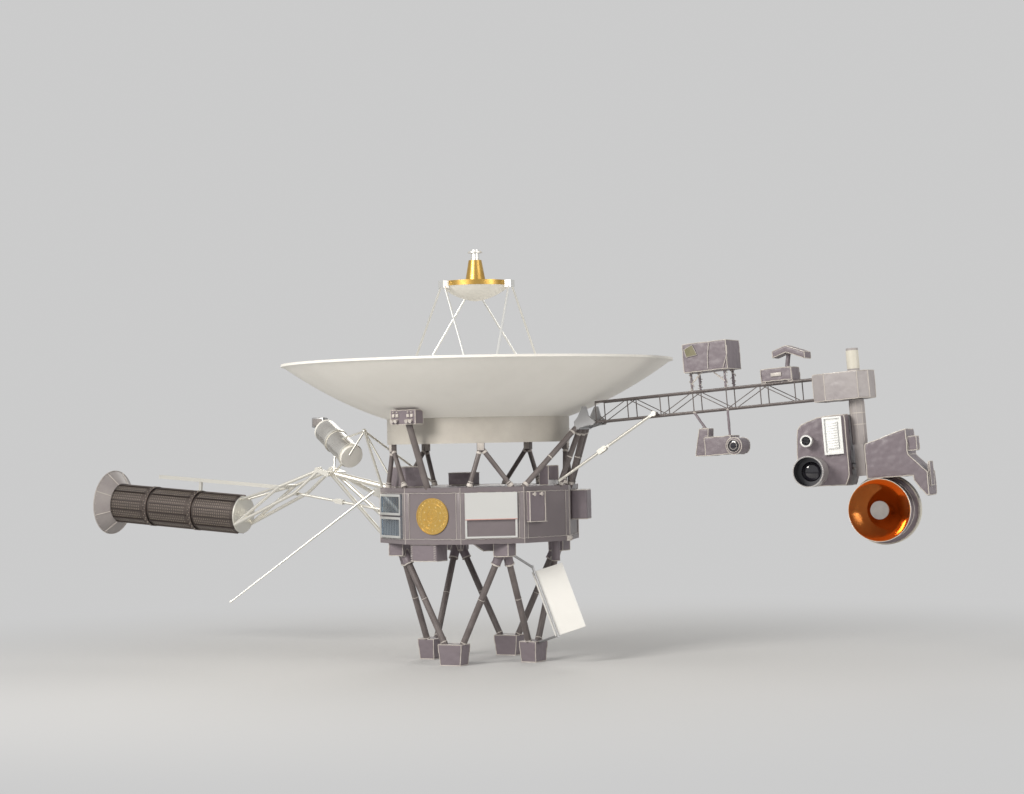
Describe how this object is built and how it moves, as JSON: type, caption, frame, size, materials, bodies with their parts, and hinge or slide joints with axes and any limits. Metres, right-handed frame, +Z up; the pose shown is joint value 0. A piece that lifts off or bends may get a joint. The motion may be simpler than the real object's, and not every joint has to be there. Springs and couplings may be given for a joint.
{
  "type": "space probe",
  "caption": "Deep-space probe with a large white dish, ten-sided body, folding power boom and instrument boom, and a scan platform that turns both ways.",
  "frame": {"origin": "on the probe's axis, in the plane of the soles of the four feet and at the centre of their bolt circle", "axes": "+Z up along the dish's axis, +X along the instrument boom, -Y out of the bay that carries the round disc"},
  "size_m": [8.6983, 3.6692, 3.844],
  "materials": {
    "white_paint": "satin",
    "cream_ring": "satin",
    "frame_metal": "satin",
    "bay_cover": "satin",
    "dark_blanket": "satin",
    "dark_tube": "matte",
    "cream_tube": "satin",
    "gold_metal": "polished",
    "louvre_blade": "polished",
    "white_plate": "satin",
    "mirror_copper": "mirror",
    "lens_black": "satin",
    "power_dark": "satin",
    "grey_panel": "satin"
  },
  "bodies": {
    "probe": {"bus_frame": "frame_metal", "bay_panels": "bay_cover", "decks": "dark_blanket", "louvres": "louvre_blade", "gold_disc": "gold_metal", "radiator_plate": "white_plate", "bay_boxes": "dark_blanket", "under_boxes": "dark_blanket", "dish": "white_paint", "support_ring": "cream_ring", "feed_horn": "white_paint", "subreflector": "white_paint", "subreflector_crown": "gold_metal", "low_gain_antenna": "white_plate", "feed_truss": "white_plate", "upper_truss": "dark_tube", "lower_struts": "dark_tube", "strut_hoods": "dark_blanket", "feet": "dark_blanket", "calibration_panel": "grey_panel", "panel_frame": "frame_metal", "hinge_brackets": "frame_metal", "root_struts": "dark_tube", "outrigger": "cream_tube", "mast_canister": "white_paint", "canister_supports": "cream_tube", "deck_boxes": "dark_blanket", "thruster_cluster": "dark_blanket", "whip_antenna": "cream_tube"},
    "science_boom": {"boom_truss": "dark_tube", "gimbal_housing": "dark_blanket", "upper_instrument": "dark_blanket", "lower_instrument": "dark_blanket", "outer_instrument": "dark_blanket"},
    "gimbal": {"gimbal": "dark_tube"},
    "scan_platform": {"elevation_shaft": "frame_metal", "camera_package": "dark_blanket", "camera_lenses": "lens_black", "camera_radiator": "white_plate", "spectrometer_package": "dark_blanket", "telescope_dish": "mirror_copper", "telescope_drum": "dark_blanket", "telescope_cap": "grey_panel", "platform_sensors": "dark_blanket"},
    "power_boom": {"power_boom": "cream_tube", "power_cylinders": "power_dark", "end_shield": "white_plate", "cable_tray": "cream_tube"},
    "science_brace_near": {"science_brace_near": "dark_tube"},
    "science_brace_far": {"science_brace_far": "dark_tube"},
    "power_brace_near": {"power_brace_near": "cream_tube"},
    "power_brace_far": {"power_brace_far": "cream_tube"}
  },
  "joints": [
    {"name": "science_boom_fold", "type": "hinge", "parent": "probe", "child": "science_boom", "pos_m": [1.26, 0, 2.2], "axis": [0, 1, 0], "range_deg": [0, 70]},
    {"name": "platform_azimuth", "type": "hinge", "parent": "science_boom", "child": "gimbal", "pos_m": [3.72099, 0, 2.37209], "axis": [-0.0698, 0, 0.9976], "range_deg": [-180, 180]},
    {"name": "platform_elevation", "type": "hinge", "parent": "gimbal", "child": "scan_platform", "pos_m": [3.76284, 0, 1.77355], "axis": [0.9879, 0.1392, 0.0691], "range_deg": [-100, 100]},
    {"name": "power_boom_fold", "type": "hinge", "parent": "probe", "child": "power_boom", "pos_m": [-1.7, 0, 1.8], "axis": [0, -1, 0], "range_deg": [0, 90]},
    {"name": "science_brace_foot", "type": "hinge", "parent": "probe", "child": "science_brace_near", "pos_m": [0.9, -0.16, 1.66], "axis": [0, 1, 0], "range_deg": [0, 90.03]},
    {"name": "science_brace_knee", "type": "hinge", "parent": "science_brace_near", "child": "science_brace_far", "pos_m": [1.38855, -0.16, 1.9616], "axis": [0, 1, 0], "range_deg": [-113.37, 0]},
    {"name": "power_brace_foot", "type": "hinge", "parent": "probe", "child": "power_brace_near", "pos_m": [-0.96, -0.07, 1.4], "axis": [0, -1, 0], "range_deg": [0, 46.63]},
    {"name": "power_brace_knee", "type": "hinge", "parent": "power_brace_near", "child": "power_brace_far", "pos_m": [-1.53202, -0.07, 1.49585], "axis": [0, -1, 0], "range_deg": [-120.93, 0]}
  ],
  "couplings": [
    {"joint": "science_brace_foot", "follows": "science_boom_fold", "ratio": 1.2861},
    {"joint": "science_brace_knee", "follows": "science_boom_fold", "ratio": -1.6195},
    {"joint": "power_brace_foot", "follows": "power_boom_fold", "ratio": 0.5181},
    {"joint": "power_brace_knee", "follows": "power_boom_fold", "ratio": -1.3436}
  ]
}
